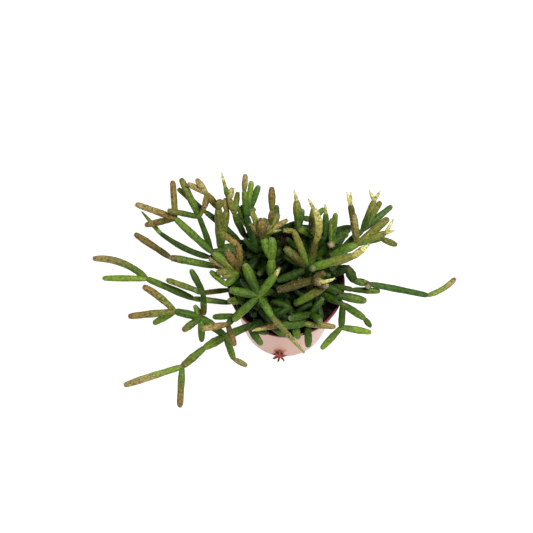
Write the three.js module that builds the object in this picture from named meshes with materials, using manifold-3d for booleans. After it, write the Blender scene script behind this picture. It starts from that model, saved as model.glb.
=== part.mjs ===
// A mistletoe cactus (Rhipsalis) in a thin plastic nursery pot, with the soil it stands in.
// Millimetres, +Z up. The origin is the centre of the pot's base, and the front is towards -Y.
//
// The plant is a bush of sprays. A spray is one stem that stands in a hole in the soil, with all
// that branches from it. PLANT gives the sprays that make its outline, and innerSprays() grows
// the short ones that fill its middle. Stems of different sprays that would cross are bent clear
// of each other by bendClear() before any solid is made.

import * as THREE from 'three';
import { mergeVertices } from 'three/addons/utils/BufferGeometryUtils.js';
import Module from 'manifold-3d';

const wasm = await Module();
wasm.setup();

// Pot
const POT_HEIGHT = 90;
const RIM_RADIUS = 52.5;
const BASE_RADIUS = 41;
const WALL = 1.2;
const FLOOR = 1.6;
const BEAD_HEIGHT = 3;
const BEAD_WIDTH = 2.4;
const POT_SIDES = 36;
const DRAIN_COUNT = 6;
const DRAIN_RADIUS = 4;
const DRAIN_RING = 33;
const SLOT_WIDTH = 7;
const SLOT_HEIGHT = 7;
const SLOT_MIDDLE = 10;
const SLOT_TURN = (-97 / 180) * Math.PI;
const CUT_SIDES = 12;

// Soil
const SOIL_LEVEL = 82;
const SOIL_RELIEF = 0.8;
const SOIL_RINGS = 2;
const SOIL_SIDES = 20;
const FIT_GAP = 0.4;
const HOLE_DEPTH = 7;
const HOLE_WIDTH = 6;
const HOLE_SIDES = 5;

// Stems. A stem from the soil starts upright, COLLAR above it, and its peg is ROOT_WIDTH thick.
// A faceted stem stands a little outside the round one of its width, by STEM_SPREAD.
const THICK_SIDES = 5;
const THIN_SIDES = 4;
const THICK = 5.2;
const POINTED = 4;
const STEM_SPREAD = 1.08;
const COLLAR = 2;
const ROOT_WIDTH = 4;
const ROOT_SPACING = 8.5;
const ROOT_REACH = 43;
const STEM_GAP = 1.2;
const ARCH = 0.01;
const ROOT_ARCH = 0.13;
const STRAIGHT_ENOUGH = 1.2;

// Dry root ends that have grown out of the slot at the pot's foot
const ROOT_END_COUNT = 9;
const ROOT_END_WIDTH = 1.3;
const ROOT_END_FAN = 1.8;
const ROOT_END_BOW = 0.15;

// The sprays that make the outline. Each starts with its name and where it stands in the soil,
// x y. A line below it is one stem: where the stem ends, x y z, then its width, then the letters
// of its colour at the base and at the tip (k deep green, d dark green, g green, l light green,
// o olive, n brown, b bronze, p pale bronze, m mustard, y yellow, w woolly). Three more numbers
// say how far the middle of a curved stem lies aside. A stem grows from the end of the stem that
// it is indented under.
const PLANT = `
nw_fan -20 12
  -65 10 122 5.5 gg
    -96 38 138 6.5 dg
      -130 51 140 5.5 bp
      -122 35 132 5.5 nb
      -98 67 152 5.5 ob
nw_rear -14 22
  -66 19 118 5 gg
    -75 39 140 5 kk
      -90 66 158 6 go
      -101 40 150 5 do
      -67 51 150 4.5 ol
nnw_dark -8 26
  -40 25 116 5 dd
    -70 47 134 5.5 kd
      -94 65 142 5 kl
north_bronze -17 28
  -57 20 110 6.5 gg
    -58 42 150 7.5 go
      -68 50 162 6 nb
        -76 60 168 5.5 pp
        -84 60 160 5 pp
        -69 35 166 4.5 ob
      -56 45 159 6.5 oo
    -51 41 147 7 go
      -51 47 158 6 op
north_olive -4 30
  -37 29 122 5.5 dd
    -44 38 148 6 kd
      -50 46 160 5.5 oo
        -46 51 169 5.5 py
        -52 56 162 5 dg
          -55 65 170 2.6 yy
      -42 55 154 5 go
north_trio 2 26
  -27 13 124 6 gd
    -36 20 136 5.5 gl
    -34 34 150 6 gl
      -36 49 168 5.5 gg
        -35 60 176 5 op
      -30 58 168 5 dl
      -24 56 164 5.5 kg
north_green 4 30
  -30 23 120 5 dd
    -39 35 140 5 dd
      -39 46 148 5 dl
      -44 49 146 4.5 lg
crown_green -2 8
  -14 -16 142 7 kk
    -13 -7 154 7.5 gl
      -13 6 166 8 gg
      -20 7 164 7.5 gg
        -22 18 178 7 nb
        -30 29 172 5 go
        -30 19 166 5 nb
crown_bronze -12 16
  -16 21 140 5.5 do
    -13 27 150 5 op
      -13 36 158 5 nb
        -13 50 172 6 ob
      -20 31 152 4.5 go
    -8 34 154 6.5 ob
    0 31 150 4.5 pp
    -6 20 153 3 ly
west_tuft -24 2
  -38 -13 142 6 gg
    -40 2 160 6 nb
      -56 15 160 5.5 bo
    -50 -2 158 7 nb
    -61 -1 152 7.5 og
    -65 -2 143 5.5 pp
    -58 -17 150 6.5 db
    -53 -20 147 6 go
    -51 -25 142 6.5 dg
      -64 -13 142 5 gg
west_long -26 16
  -68 13 112 5 dd
    -111 35 116 5.5 kk 0 -2.5 -2
      -128 55 118 3.4 ll
west_thick -30 8
  -63 8 110 6 gg
    -101 10 118 6.5 gw
      -132 31 122 6 nb
west_far -26 -4
  -49 -26 102 4.5 gg
    -81 -23 106 5 kl
      -121 -7 112 6 dg
        -169 13 110 6 gp 1 5 1
        -160 -4 106 5.5 ll
west_whorl -30 -12
  -51 -14 104 4.5 dd
    -71 -25 124 4.5 kn
      -81 -9 136 5.5 kd
      -102 -14 126 5 do
      -77 -29 140 5 dd
      -71 -39 110 5.5 kn
sw_trailing -8 -28
  -31 -46 98 6 dd
    -53 -52 90 7 kg
      -72 -59 83 7.5 gl
        -91 -75 76 7 go
          -141 -90 70 6 lp
          -93 -107 62 6 gb
      -46 -69 79 6 dg
        -35 -74 76 5 pp
      -74 -38 100 7 dd
        -89 -50 100 6.5 do
        -73 -56 86 6 gg
        -79 -31 109 5.5 og
        -96 -35 106 7 dg
          -123 -16 116 6 ob 0 1.5 1
          -136 -38 102 6 ob
          -115 -42 96 6 dg
sw_arm -16 -14
  -49 -53 130 6 kd
    -70 -61 134 5.5 bp
    -44 -71 122 5.5 nb
sw_bud -28 -16
  -44 -40 108 5.5 gg
    -63 -40 106 5.5 dd
star -6 -20
  -24 -34 146 6 gg
    -35 -13 156 8 dg
    -47 -32 148 7 dg
    -46 -53 132 6.5 dg
    -12 -55 144 6.5 dg
      14 -74 112 3.9 oy
    -10 -22 156 7 gg
      -7 -18 160 3.5 yy
    -39 -17 138 5.5 dk
west_bud -30 0
  -40 -27 112 5.5 gg
    -50 -29 116 6.5 ll
centre_right 10 -4
  19 -10 140 6 gg
    5 13 166 5.8 gm
      -3 13 167 4.4 mm
    -2 3 154 7 no
    23 6 158 6.5 dn
      22 27 177 6.2 my 3 0 0
    22 -18 157 7.5 dd
    55 -4 154 7.5 go
      67 4 158 5 yy
    -8 -17 134 6.5 kd
    -1 2 140 6 ll
centre_bronze 14 -12
  22 -23 146 6.5 oo
    -8 -32 147 7 nn
    29 -20 156 6.5 on
    26 -29 157 7.5 nw
      38 -26 158 2.8 yy 0 -1 1
    32 -30 151 6.5 nw
centre_low 6 -16
  8 -35 124 6.5 gg
    31 -25 138 7 go
ne_dark 14 18
  25 26 128 6 dg
    10 28 140 7 dl
      8 45 158 7 do
        6 52 163 2.6 yy
      13 41 150 6 dg
    20 26 144 5.5 do
      22 38 158 5 no
        18 44 163 2.6 yy
ne_teal 20 16
  34 26 130 5 dg
    33 37 150 5.5 gg
      32 42 157 2.6 yy
ne_pair 24 12
  38 15 134 6 ld
    38 32 150 5.5 go
    37 10 144 6.5 ow
    41 35 154 5 dg
ne_fan 26 4
  41 6 136 6.5 gd
    59 10 146 7 dg
      52 34 172 5.5 bn
        49 43 177 2.6 yy
        52 42 178 2.6 yy
      55 27 168 5.5 ob
      84 26 162 6.6 oo
      82 16 156 6 go
        88 26 161 2.6 yy
        89 18 156 2.6 yy
ne_rear 28 12
  51 16 130 5.5 dd
    64 24 144 5.5 kk
      73 43 162 6 ko
        69 51 165 2.8 yy
        78 50 166 2.6 yy
      79 45 156 5.5 go
      89 44 150 5.5 dl
    81 20 136 5 dg
      94 17 130 5.5 oo
east_long 22 2
  46 9 121 8.6 dd
    59 -6 105 8.6 kk
      72 -9 103 6.8 do
        70 -14 111 6 nw
        124 -16 96 5.5 dg
          149 -1 98 5 lp 1 -2 0
ne_leaf 22 10
  45 21 120 5.5 dd
    53 29 126 5.5 dg
east_low 30 -4
  58 -12 99 5 dg
    82 -12 97 5.5 dg
east_thick 24 -8
  34 -23 112 6.5 gg
    68 -26 108 7.5 dg
se_drop 30 -14
  49 -26 104 5.5 gg
    48 -43 88 6 kd
      74 -45 84 6 gl
      31 -59 78 6 gl
    68 -36 92 6.5 dg
      74 -42 84 5 dd
south_hang 12 -30
  18 -45 100 6 dd
    19 -59 84 6.5 dg
south_bar 4 -24
  15 -46 112 7 dg
    -9 -52 117 7.5 dd
      -29 -57 119 3.8 by
    41 -49 106 5.5 op
south_light 2 -30
  9 -42 104 6.5 gg
    10 -55 94 7 gl
south_left -6 -26
  -31 -54 108 6 dk
    -22 -61 96 6.5 kg
    -16 -52 100 5 gd
south_dark -12 -22
  -30 -38 107 7 dd
  -19 -46 104 6 dd
    -1 -54 97 5.5 dg
back_left -20 34
  -38 54 104 6 dd
    -42 60 106 5.5 dd
    -28 62 110 5.5 dg
back_right 20 34
  24 54 104 6 dd
    34 62 110 5.5 dg
    14 55 106 5.5 dd
back_far 34 24
  50 40 100 6 dd
    58 46 106 5.5 dd
middle_left -14 2
  -21 3 116 6.5 dd
    -27 -9 128 6 dg
    -8 17 126 6 dg
middle_right 2 4
  10 2 116 6.5 dd
    13 -13 126 6 dg
    24 8 126 6 dg
    4 -20 124 6 dg
`;

const COLOURS = {
  k: 0x28420e,
  d: 0x3c5814,
  g: 0x546e1c,
  l: 0x74922a,
  o: 0x6a6c28,
  n: 0x423e14,
  b: 0x786430,
  p: 0x8e8242,
  m: 0x747230,
  y: 0x9e9a54,
  w: 0x6e6240,
};

// Repeatable draws from 0 to 1
function drawFrom(seed) {
  let state = seed;
  return () => {
    state = (state * 48271) % 2147483647;
    return state / 2147483647;
  };
}

function readSprays(text) {
  const sprays = [];
  let joints = [];
  for (const line of text.split('\n').filter((entry) => entry.trim())) {
    const depth = (line.length - line.trimStart().length) / 2;
    const words = line.trim().split(' ');
    if (depth === 0) {
      sprays.push({ name: words[0], root: [Number(words[1]), Number(words[2])], stems: [] });
      joints = [-1];
      continue;
    }
    const spray = sprays.at(-1);
    const [x, y, z, width] = words.slice(0, 4).map(Number);
    const aside = words.length > 5 ? words.slice(5).map(Number) : [0, 0, 0];
    spray.stems.push({ parent: joints[depth - 1], end: [x, y, z], width, look: words[4], aside });
    joints[depth] = spray.stems.length - 1;
  }
  return sprays;
}

// The short sprays in the middle of the bush: a stem that leans outwards, with a whorl on its end
const INNER_COUNT = 11;
const INNER_REACH = 36;
const GOLDEN_ANGLE = Math.PI * (3 - Math.sqrt(5));

function innerSprays() {
  const draw = drawFrom(4021);
  const range = (low, high) => low + (high - low) * draw();
  const aside = [0, 0, 0];
  const step = (from, heading, climb, length) => [
    from[0] + length * Math.cos(climb) * Math.cos(heading),
    from[1] + length * Math.cos(climb) * Math.sin(heading),
    from[2] + length * Math.sin(climb),
  ];
  const sprays = [];
  for (let k = 0; k < INNER_COUNT; k += 1) {
    const heading = k * GOLDEN_ANGLE;
    const distance = INNER_REACH * Math.sqrt((k + 0.5) / INNER_COUNT);
    const root = [distance * Math.cos(heading), distance * Math.sin(heading)];
    const foot = [root[0], root[1], SOIL_LEVEL];
    const joint = step(foot, heading, range(1.1, 1.5), range(18, 34));
    const stems = [{ parent: -1, end: joint, width: 5.5, look: 'kk', aside }];
    for (let n = 0; n < 3; n += 1) {
      const turn = heading + ((n + range(-0.2, 0.2)) * 2 * Math.PI) / 3;
      const tip = step(joint, turn, range(0.2, 0.9), range(17, 26));
      stems.push({ parent: 0, end: tip, width: range(5.5, 6.5), look: 'kd', aside });
    }
    sprays.push({ name: `inner_${k + 1}`, root, stems });
  }
  return sprays;
}

// ---- Bending stems clear of each other ----

// Every stem is a smooth bow through three points: its start, its middle and its end. At a share
// t of its length the bow lies at the sum of those points times bowWeights(t).
function bowWeights(t) {
  return [(1 - t) * (1 - 2 * t), 4 * t * (1 - t), t * (2 * t - 1)];
}

const BOW_PARTS = 4;
const PASSES = 900;
const SETTLING_PASSES = 315;
const HOME_PULL = 0.03;
const SETTLING_STIFFNESS = 0.1;
const LATE_STIFFNESS = 0.02;
const NEAR_EVERY = 20;
const NEAR_MARGIN = 8;
const FREE_FOOT = 0.3;

// Lists every point of the plant once, and every stem by the numbers of its three points.
function layOut(sprays) {
  const points = [];
  const roots = [];
  const stems = [];
  const addPoint = (x, y, z) => points.push([x, y, z]) - 1;
  sprays.forEach((spray, sprayNumber) => {
    const root = addPoint(spray.root[0], spray.root[1], SOIL_LEVEL + COLLAR);
    roots.push(root);
    const ends = [];
    spray.stems.forEach((stem) => {
      const start = stem.parent < 0 ? root : ends[stem.parent];
      const end = addPoint(...stem.end);
      const [a, b] = [points[start], points[end]];
      const length = Math.hypot(b[0] - a[0], b[1] - a[1], b[2] - a[2]);
      const rise = length * (stem.parent < 0 ? ROOT_ARCH : ARCH);
      const bow = [stem.aside[0], stem.aside[1], stem.aside[2] + rise];
      const middle = addPoint(...bow.map((offset, n) => (a[n] + b[n]) / 2 + offset));
      ends.push(end);
      stems.push({ spray: sprayNumber, triple: [start, middle, end], radius: stem.width / 2 });
    });
  });
  return { points, roots, stems };
}

// Two straight lengths a-b and c-d: the shares s and t where they come closest.
function closestShares(a, b, c, d) {
  const clamp = (value) => Math.min(1, Math.max(0, value));
  const dot = (p, q) => p[0] * q[0] + p[1] * q[1] + p[2] * q[2];
  const minus = (p, q) => [p[0] - q[0], p[1] - q[1], p[2] - q[2]];
  const along = minus(b, a);
  const other = minus(d, c);
  const between = minus(a, c);
  const [aa, ee, bb] = [dot(along, along), dot(other, other), dot(along, other)];
  const [cc, ff] = [dot(along, between), dot(other, between)];
  let s = clamp((bb * ff - cc * ee) / Math.max(aa * ee - bb * bb, 1e-9));
  const t = clamp((bb * s + ff) / ee);
  s = clamp((bb * t - cc) / aa);
  return [s, t];
}

// The pot's lip and upper wall as rings that the stems keep clear of: radius, height, thickness
const WALL_RINGS = [
  [RIM_RADIUS - 1.2, 88.6, 1.6],
  [RIM_RADIUS - 1.5, 84, 1.4],
  [RIM_RADIUS - 1.8, 79, 1.4],
  [RIM_RADIUS - 2.2, 74, 1.4],
];
const WALL_SAMPLES = 12;

// Pushes near stems apart in small steps. Until the settling passes are over, each point is also
// drawn back to where the plan has it, and each stem towards the bow that the plan gives it.
function bendClear(sprays) {
  const { points, roots, stems } = layOut(sprays);
  const home = points.map((point) => [...point]);
  const isRoot = new Set(roots);
  const axes = [0, 1, 2];
  const blend = (triple, weights) =>
    axes.map((axis) => triple.reduce((sum, point, n) => sum + weights[n] * points[point][axis], 0));

  // Short straight lengths that follow each bow
  const lengths = [];
  stems.forEach((stem, number) => {
    for (let part = 0; part < BOW_PARTS; part += 1) {
      const [from, to] = [bowWeights(part / BOW_PARTS), bowWeights((part + 1) / BOW_PARTS)];
      lengths.push({ number, stem, from, to });
    }
  });
  const apart = (one, two) => one.number < two.number
    && !one.stem.triple.some((point) => two.stem.triple.includes(point));
  const needed = (one, two) => one.stem.radius + two.stem.radius
    + (one.stem.spray === two.stem.spray ? 0 : STEM_GAP);

  let near = [];
  const findNear = () => {
    near = [];
    for (let i = 0; i < lengths.length; i += 1) {
      for (let j = i + 1; j < lengths.length; j += 1) {
        if (!apart(lengths[i], lengths[j])) continue;
        const [p, q] = [lengths[i], lengths[j]];
        const centre = (n) => (p.a[n] + p.b[n] - q.a[n] - q.b[n]) / 2;
        const reach = (p.span + q.span) / 2 + needed(p, q) + NEAR_MARGIN;
        if (centre(0) ** 2 + centre(1) ** 2 + centre(2) ** 2 < reach ** 2) near.push([p, q]);
      }
    }
  };
  const placeLengths = () => {
    for (const length of lengths) {
      length.a = blend(length.stem.triple, length.from);
      length.b = blend(length.stem.triple, length.to);
      length.span = Math.hypot(...axes.map((axis) => length.b[axis] - length.a[axis]));
    }
  };

  let moves;
  let counts;
  const push = (triple, weights, way, amount) => {
    triple.forEach((point, n) => {
      if (weights[n] === 0) return;
      for (let axis = 0; axis < 3; axis += 1) moves[point][axis] += weights[n] * amount * way[axis];
      counts[point] += 1;
    });
  };
  const squares = (weights) => weights.reduce((sum, weight) => sum + weight * weight, 0);

  for (let pass = 0; pass < PASSES; pass += 1) {
    placeLengths();
    if (pass % NEAR_EVERY === 0) findNear();
    moves = points.map(() => [0, 0, 0]);
    counts = points.map(() => 0);
    for (const [p, q] of near) {
      const [s, t] = closestShares(p.a, p.b, q.a, q.b);
      const between = axes.map((axis) => {
        const onFirst = p.a[axis] + s * (p.b[axis] - p.a[axis]);
        return onFirst - q.a[axis] - t * (q.b[axis] - q.a[axis]);
      });
      const distance = Math.max(Math.hypot(...between), 1e-6);
      const short = needed(p, q) - distance;
      if (short <= 0) continue;
      const way = between.map((value) => value / distance);
      const onP = p.from.map((weight, n) => weight + s * (p.to[n] - weight));
      const onQ = q.from.map((weight, n) => weight + t * (q.to[n] - weight));
      const share = short / (squares(onP) + squares(onQ));
      push(p.stem.triple, onP, way, share);
      push(q.stem.triple, onQ, way, -share);
    }
    for (const stem of stems) {
      for (let sample = 1; sample <= WALL_SAMPLES; sample += 1) {
        const t = sample / WALL_SAMPLES;
        const weights = bowWeights(t);
        const [x, y, z] = blend(stem.triple, weights);
        const across = Math.hypot(x, y);
        for (const [radius, height, thickness] of WALL_RINGS) {
          const [out, lift] = [across - radius, z - height];
          const distance = Math.hypot(out, lift);
          const short = thickness + stem.radius + STEM_GAP - distance;
          if (short <= 0) continue;
          const straight = [(out * x) / across, (out * y) / across, lift];
          const way = straight.map((value) => value / distance);
          push(stem.triple, weights, way, short / squares(weights));
        }
        const floor = SOIL_LEVEL + SOIL_RELIEF + stem.radius + STEM_GAP;
        if (across < RIM_RADIUS && z < floor && (!isRoot.has(stem.triple[0]) || t > FREE_FOOT)) {
          push(stem.triple, weights, [0, 0, 1], (floor - z) / squares(weights));
        }
      }
    }
    const settling = pass < SETTLING_PASSES;
    const pull = settling ? HOME_PULL : 0;
    const stiffness = settling ? SETTLING_STIFFNESS : LATE_STIFFNESS;
    points.forEach((point, n) => {
      const share = 1 / Math.max(1, 0.5 * counts[n]);
      for (let axis = 0; axis < 3; axis += 1) {
        point[axis] += moves[n][axis] * share + pull * (home[n][axis] - point[axis]);
      }
    });
    for (const { triple: [start, middle, end] } of stems) {
      for (let axis = 0; axis < 3; axis += 1) {
        const bow = home[middle][axis] - (home[start][axis] + home[end][axis]) / 2;
        const wanted = (points[start][axis] + points[end][axis]) / 2 + bow;
        points[middle][axis] += stiffness * (wanted - points[middle][axis]);
      }
    }
    for (const one of roots) {
      for (const two of roots) {
        if (two <= one) continue;
        const [x, y] = [points[one][0] - points[two][0], points[one][1] - points[two][1]];
        const distance = Math.hypot(x, y);
        const short = (ROOT_SPACING - distance) / 2;
        if (short <= 0) continue;
        points[one][0] += (short * x) / distance;
        points[one][1] += (short * y) / distance;
        points[two][0] -= (short * x) / distance;
        points[two][1] -= (short * y) / distance;
      }
    }
    for (const root of roots) {
      const across = Math.hypot(points[root][0], points[root][1]);
      const scale = Math.min(1, ROOT_REACH / across);
      points[root][0] *= scale;
      points[root][1] *= scale;
      points[root][2] = SOIL_LEVEL + COLLAR;
    }
  }
  return { points, stems, roots };
}

// ---- Solids ----

// A closed geometry as a manifold-3d solid: shared corners merged, the flat triangles of poles
// dropped, and the faces turned to point out.
function solidFrom(geometry) {
  const bare = geometry.clone();
  bare.deleteAttribute('normal');
  bare.deleteAttribute('uv');
  const merged = mergeVertices(bare, 1e-4);
  const index = merged.index.array;
  const build = (flip) => {
    const triangles = [];
    for (let n = 0; n < index.length; n += 3) {
      const [a, b, c] = index.slice(n, n + 3);
      if (a === b || b === c || c === a) continue;
      triangles.push(...(flip ? [a, c, b] : [a, b, c]));
    }
    return new wasm.Manifold(new wasm.Mesh({
      numProp: 3,
      vertProperties: new Float32Array(merged.attributes.position.array),
      triVerts: new Uint32Array(triangles),
    }));
  };
  const solid = build(false);
  return solid.volume() < 0 ? build(true) : solid;
}

function geometryFrom(solid) {
  const { numProp, vertProperties, triVerts } = solid.getMesh();
  const corners = new Float32Array((vertProperties.length / numProp) * 3);
  for (let n = 0; n < corners.length / 3; n += 1) {
    corners.set(vertProperties.slice(n * numProp, n * numProp + 3), n * 3);
  }
  const geometry = new THREE.BufferGeometry();
  geometry.setAttribute('position', new THREE.BufferAttribute(corners, 3));
  geometry.setIndex(new THREE.BufferAttribute(new Uint32Array(triVerts), 1));
  geometry.computeVertexNormals();
  return geometry;
}

const join = (solids) => wasm.Manifold.union(solids);

function lathe(profile, sides) {
  const outline = profile.map(([radius, height]) => new THREE.Vector2(radius, height));
  return new THREE.LatheGeometry(outline, sides);
}

// A stem: a lathe-turned shape, narrow at its foot and full above its middle, bent along its bow.
// Its foot is sunk into the round end of the stem that carries it, or stands upright in the soil.
// A thin shoot ends in a point.
function stemSolid([start, middle, end], width, sides, inSoil) {
  const radius = (width / 2) * STEM_SPREAD;
  const [a, b, c] = [start, middle, end].map((point) => new THREE.Vector3(...point));
  const control = b.clone().multiplyScalar(2).addScaledVector(a, -0.5).addScaledVector(c, -0.5);
  const bow = new THREE.QuadraticBezierCurve3(a, control, c);
  const length = bow.getLength();
  const sunk = Math.min(0.25 * width, 0.2 * length) / length;
  const depth = (a.z - SOIL_LEVEL + HOLE_DEPTH - 1) / length;
  const bend = b.distanceTo(a.clone().add(c).multiplyScalar(0.5));
  const peg = [[0, -depth], [ROOT_WIDTH / 2, -depth], [ROOT_WIDTH / 2, 0]];
  const profile = [
    ...(inSoil ? peg : [[0, -sunk], [0.75 * radius, -sunk]]),
    ...(bend > STRAIGHT_ENOUGH ? [[radius, 0.45]] : []),
    [0.95 * radius, width < POINTED ? 0.6 : 1 - sunk],
    [0, 1 + sunk],
  ];
  const shape = lathe(profile, sides);
  const position = shape.attributes.position;
  const chord = c.clone().sub(a);
  const side = new THREE.Vector3(-chord.y, chord.x, 0.01).normalize();
  const upright = new THREE.Vector3(0, 0, 1);
  for (let n = 0; n < position.count; n += 1) {
    const t = position.getY(n);
    const on = THREE.MathUtils.clamp(t, 0, 1);
    const along = inSoil && t <= 0 ? upright : bow.getTangent(on);
    const across = side.clone().addScaledVector(along, -side.dot(along)).normalize();
    const up = new THREE.Vector3().crossVectors(across, along);
    const place = bow.getPoint(on).addScaledVector(along, (t - on) * length)
      .addScaledVector(across, position.getX(n))
      .addScaledVector(up, position.getZ(n));
    position.setXYZ(n, place.x, place.y, place.z);
  }
  return solidFrom(shape);
}

// The radius of the pot's outside, and of the room inside it, at a height
const FLARE = (RIM_RADIUS - BEAD_WIDTH / 2 - BASE_RADIUS) / POT_HEIGHT;
const outside = (height) => BASE_RADIUS + FLARE * height;
const inside = (height) => outside(height) - WALL;

function potSolid() {
  const underBead = POT_HEIGHT - BEAD_HEIGHT;
  const profile = [
    [0, 0],
    [BASE_RADIUS - 1, 0],
    [BASE_RADIUS, 1],
    [outside(underBead), underBead],
    [RIM_RADIUS, underBead + 0.4],
    [RIM_RADIUS, POT_HEIGHT - 0.6],
    [RIM_RADIUS - 0.8, POT_HEIGHT],
    [RIM_RADIUS - BEAD_WIDTH, POT_HEIGHT],
    [inside(underBead), underBead - 1],
    [inside(FLOOR), FLOOR],
    [0, FLOOR],
  ];
  const body = lathe(profile, POT_SIDES);
  body.rotateX(Math.PI / 2);
  const cuts = [];
  for (let k = 0; k < DRAIN_COUNT; k += 1) {
    const angle = ((k + 0.5) * 2 * Math.PI) / DRAIN_COUNT;
    const hole = new THREE.CylinderGeometry(DRAIN_RADIUS, DRAIN_RADIUS, 4 * FLOOR, CUT_SIDES);
    hole.rotateX(Math.PI / 2);
    hole.translate(DRAIN_RING * Math.cos(angle), DRAIN_RING * Math.sin(angle), 0);
    cuts.push(solidFrom(hole));
  }
  const slot = new THREE.BoxGeometry(10, SLOT_WIDTH, SLOT_HEIGHT);
  slot.translate(BASE_RADIUS, 0, SLOT_MIDDLE);
  slot.rotateZ(SLOT_TURN);
  cuts.push(solidFrom(slot));
  return solidFrom(body).subtract(join(cuts));
}

// Loose soil: its top heaves a little, by a formula, and the sprays stand in plain holes.
function soilSolid(roots) {
  const profile = [[0, FLOOR + FIT_GAP], [inside(FLOOR) - FIT_GAP, FLOOR + FIT_GAP]];
  for (let ring = 0; ring <= SOIL_RINGS; ring += 1) {
    profile.push([(inside(SOIL_LEVEL) - FIT_GAP) * (1 - ring / SOIL_RINGS), SOIL_LEVEL]);
  }
  const heap = lathe(profile, SOIL_SIDES);
  heap.rotateX(Math.PI / 2);
  const position = heap.attributes.position;
  for (let n = 0; n < position.count; n += 1) {
    if (position.getZ(n) < SOIL_LEVEL - 1) continue;
    const [x, y] = [position.getX(n), position.getY(n)];
    const swell = 0.6 * Math.sin(0.21 * x + 0.9) * Math.cos(0.17 * y);
    const ripple = 0.4 * Math.sin(0.4 * y - 0.3 * x);
    position.setZ(n, SOIL_LEVEL + SOIL_RELIEF * (swell + ripple));
  }
  const holes = roots.map(([x, y]) => {
    const radius = HOLE_WIDTH / 2;
    const hole = new THREE.CylinderGeometry(radius, radius, 2 * HOLE_DEPTH, HOLE_SIDES);
    hole.rotateX(Math.PI / 2);
    hole.translate(x, y, SOIL_LEVEL);
    return solidFrom(hole);
  });
  return solidFrom(heap).subtract(join(holes));
}

// Dry root ends: thin and pointed, splayed over the wall from the slot that they have grown out of.
function rootEndsSolid() {
  const draw = drawFrom(77);
  const range = (low, high) => low + (high - low) * draw();
  const ring = inside(SLOT_MIDDLE) + ROOT_END_WIDTH / 2;
  const foot = [ring * Math.cos(SLOT_TURN), ring * Math.sin(SLOT_TURN), SLOT_MIDDLE];
  const solids = [];
  for (let k = 0; k < ROOT_END_COUNT; k += 1) {
    const heading = SLOT_TURN + (k / (ROOT_END_COUNT - 1) - 0.5) * ROOT_END_FAN;
    const length = range(5, 7);
    const height = k % 2 === 0 ? range(3, 6) : range(12, 17);
    const end = [foot[0] + length * Math.cos(heading), foot[1] + length * Math.sin(heading), height];
    const middle = foot.map((value, axis) => (value + end[axis]) / 2);
    middle[2] += ROOT_END_BOW * (SLOT_MIDDLE - height);
    solids.push(stemSolid([foot, middle, end], ROOT_END_WIDTH, THIN_SIDES, false));
  }
  return join(solids);
}

// ---- The object ----

const POT_COLOUR = 0xd7ada0;
const SOIL_COLOUR = 0x1e1718;
const ROOT_COLOUR = 0x8a4530;

function piece(name, solid, colour, roughness) {
  const material = new THREE.MeshStandardMaterial({ color: colour, roughness, metalness: 0 });
  const mesh = new THREE.Mesh(geometryFrom(solid), material);
  mesh.name = name;
  return mesh;
}

// A spray's colour is the mix of its stems' colours.
function sprayColour(stems) {
  const mix = new THREE.Color(0);
  for (const { look } of stems) {
    for (const letter of look) {
      mix.add(new THREE.Color(COLOURS[letter]).multiplyScalar(0.5 / stems.length));
    }
  }
  return mix;
}

const sprays = [...readSprays(PLANT), ...innerSprays()];
const { points, roots, stems } = bendClear(sprays);

const cactus = new THREE.Group();
cactus.add(piece('pot', potSolid(), POT_COLOUR, 0.6));
cactus.add(piece('soil', soilSolid(roots.map((root) => points[root])), SOIL_COLOUR, 0.95));
cactus.add(piece('root_ends', rootEndsSolid(), ROOT_COLOUR, 0.9));
sprays.forEach((spray, number) => {
  const solids = stems.filter((stem) => stem.spray === number).map((stem) => {
    const inSoil = stem.triple[0] === roots[number];
    const width = 2 * stem.radius;
    const sides = width < THICK || spray.name.startsWith('inner') ? THIN_SIDES : THICK_SIDES;
    return stemSolid(stem.triple.map((point) => points[point]), width, sides, inSoil);
  });
  cactus.add(piece(spray.name, join(solids), sprayColour(spray.stems), 0.5));
});

export default cactus;
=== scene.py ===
"""The looks of a mistletoe cactus (Rhipsalis) in its plastic nursery pot.

The plan of the plant and the rule that bends its stems clear of each other are the solids' own,
so every stem lies where its solid does. Lengths are millimetres until a mesh is finished.
"""

import math
from types import SimpleNamespace

import bmesh
import bpy
import numpy as np
from mathutils import Euler, Matrix, Vector, noise
from numpy.linalg import norm


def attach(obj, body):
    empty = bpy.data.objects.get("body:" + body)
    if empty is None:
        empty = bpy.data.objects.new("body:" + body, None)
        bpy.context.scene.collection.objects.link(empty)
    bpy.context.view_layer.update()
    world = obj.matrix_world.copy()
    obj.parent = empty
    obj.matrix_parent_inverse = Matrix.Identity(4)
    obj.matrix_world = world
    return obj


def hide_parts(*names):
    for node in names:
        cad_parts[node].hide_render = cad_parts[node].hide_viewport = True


MM = 0.001
FULL_TURN = 2 * math.pi

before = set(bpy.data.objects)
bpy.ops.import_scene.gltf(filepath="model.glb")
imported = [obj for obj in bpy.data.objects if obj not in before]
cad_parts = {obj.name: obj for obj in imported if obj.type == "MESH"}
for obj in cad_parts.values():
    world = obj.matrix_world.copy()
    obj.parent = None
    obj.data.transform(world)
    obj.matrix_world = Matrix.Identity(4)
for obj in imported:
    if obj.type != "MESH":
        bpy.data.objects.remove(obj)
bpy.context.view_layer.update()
scene = bpy.context.scene


def polar(distance, turn):
    return distance * math.cos(turn), distance * math.sin(turn)


def leaning(climb, length, turn):
    """A step of this length that climbs at one angle and heads at the other."""
    return np.array([*polar(length * math.cos(climb), turn), length * math.sin(climb)])


# ---- The pot and the soil, as their solids have them ----

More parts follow.
